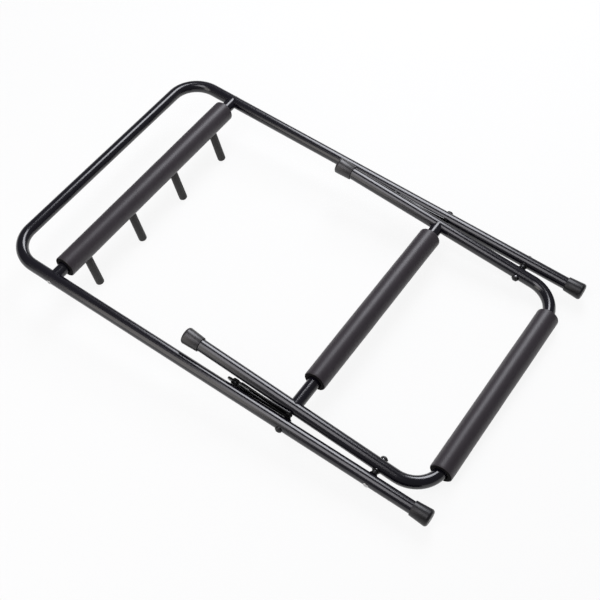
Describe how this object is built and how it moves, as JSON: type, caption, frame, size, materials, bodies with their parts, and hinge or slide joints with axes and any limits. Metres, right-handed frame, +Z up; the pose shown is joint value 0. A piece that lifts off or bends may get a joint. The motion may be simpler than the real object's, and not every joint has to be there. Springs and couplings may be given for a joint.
{
  "type": "multi guitar stand",
  "caption": "Folding floor rack for several guitars, folded flat: a tall tube frame with a padded, pegged neck rest and a hinged padded cradle frame with folding braces.",
  "frame": {"origin": "on the floor, under the centre of the folded stand", "axes": "+X across the stand to its right, +Y along the back frame towards its top, +Z up from the floor it lies on"},
  "size_m": [0.4942, 0.7819, 0.0922],
  "materials": {
    "black_enamel": "gloss black baked enamel",
    "black_sheet": "satin black painted steel sheet",
    "black_hardware": "black oxide steel",
    "bright_screw": "dark bright steel",
    "zinc_steel": "zinc plated steel",
    "foam": "matte closed-cell foam",
    "foot_rubber": "satin grey-black rubber",
    "peg_rubber": "matte rubber"
  },
  "bodies": {
    "back_frame": {"back_frame_tube": "black_enamel", "back_foot_left": "foot_rubber", "back_foot_right": "foot_rubber", "neck_peg_rod_1": "zinc_steel", "neck_peg_sleeve_1": "peg_rubber", "neck_peg_rod_2": "zinc_steel", "neck_peg_sleeve_2": "peg_rubber", "neck_peg_rod_3": "zinc_steel", "neck_peg_sleeve_3": "peg_rubber", "neck_peg_rod_4": "zinc_steel", "neck_peg_sleeve_4": "peg_rubber", "neck_rest_bar": "black_enamel", "neck_rest_foam": "foam", "neck_rest_plugs": "zinc_steel", "neck_rest_screws": "bright_screw", "pivot_bolt_left": "bright_screw", "pivot_bolt_right": "bright_screw", "pivot_spacer_left": "black_hardware", "pivot_spacer_right": "black_hardware", "pivot_washers": "black_hardware", "pivot_cap_nut_left": "black_hardware", "pivot_cap_nut_right": "black_hardware", "brace_bolt_left": "black_hardware", "brace_bolt_right": "black_hardware", "brace_nuts": "black_hardware", "brace_washers": "black_hardware"},
    "cradle_frame": {"cradle_frame_tube": "black_enamel", "cradle_pivot_bush_left": "zinc_steel", "cradle_pivot_bush_right": "zinc_steel", "cradle_foot_left": "foot_rubber", "cradle_foot_right": "foot_rubber", "cradle_end_foam": "foam", "cradle_bar": "black_enamel", "cradle_bar_foam": "foam", "cradle_bar_plugs": "zinc_steel", "cradle_bar_stud_left": "zinc_steel", "cradle_bar_stud_right": "zinc_steel"},
    "channel_link_left": {"back_brace_link_left": "black_sheet", "brace_knee_rivet_left": "black_hardware"},
    "flat_link_left": {"cradle_brace_link_left": "black_sheet", "cradle_brace_screw_left": "black_hardware"},
    "channel_link_right": {"back_brace_link_right": "black_sheet", "brace_knee_rivet_right": "black_hardware"},
    "flat_link_right": {"cradle_brace_link_right": "black_sheet", "cradle_brace_screw_right": "black_hardware"}
  },
  "joints": [
    {"name": "cradle_fold", "type": "hinge", "parent": "back_frame", "child": "cradle_frame", "pos_m": [0, -0.29003, 0.02901], "axis": [1, 0, 0], "range_deg": [0, 74.25]},
    {"name": "left_brace_swing", "type": "hinge", "parent": "back_frame", "child": "channel_link_left", "pos_m": [-0.2191, -0.14207, 0.0405], "axis": [1, 0, 0], "range_deg": [0, 126.28]},
    {"name": "left_brace_knee", "type": "hinge", "parent": "channel_link_left", "child": "flat_link_left", "pos_m": [-0.2191, -0.04959, 0.05214], "axis": [1, 0, 0], "range_deg": [-174.05, 0]},
    {"name": "right_brace_swing", "type": "hinge", "parent": "back_frame", "child": "channel_link_right", "pos_m": [0.2191, -0.14207, 0.0405], "axis": [1, 0, 0], "range_deg": [0, 126.28]},
    {"name": "right_brace_knee", "type": "hinge", "parent": "channel_link_right", "child": "flat_link_right", "pos_m": [0.2191, -0.04959, 0.05214], "axis": [1, 0, 0], "range_deg": [-174.05, 0]}
  ],
  "couplings": [
    {"joint": "left_brace_swing", "follows": "cradle_fold", "ratio": 1.7006},
    {"joint": "left_brace_knee", "follows": "cradle_fold", "ratio": -2.344},
    {"joint": "right_brace_swing", "follows": "cradle_fold", "ratio": 1.7006},
    {"joint": "right_brace_knee", "follows": "cradle_fold", "ratio": -2.344}
  ]
}
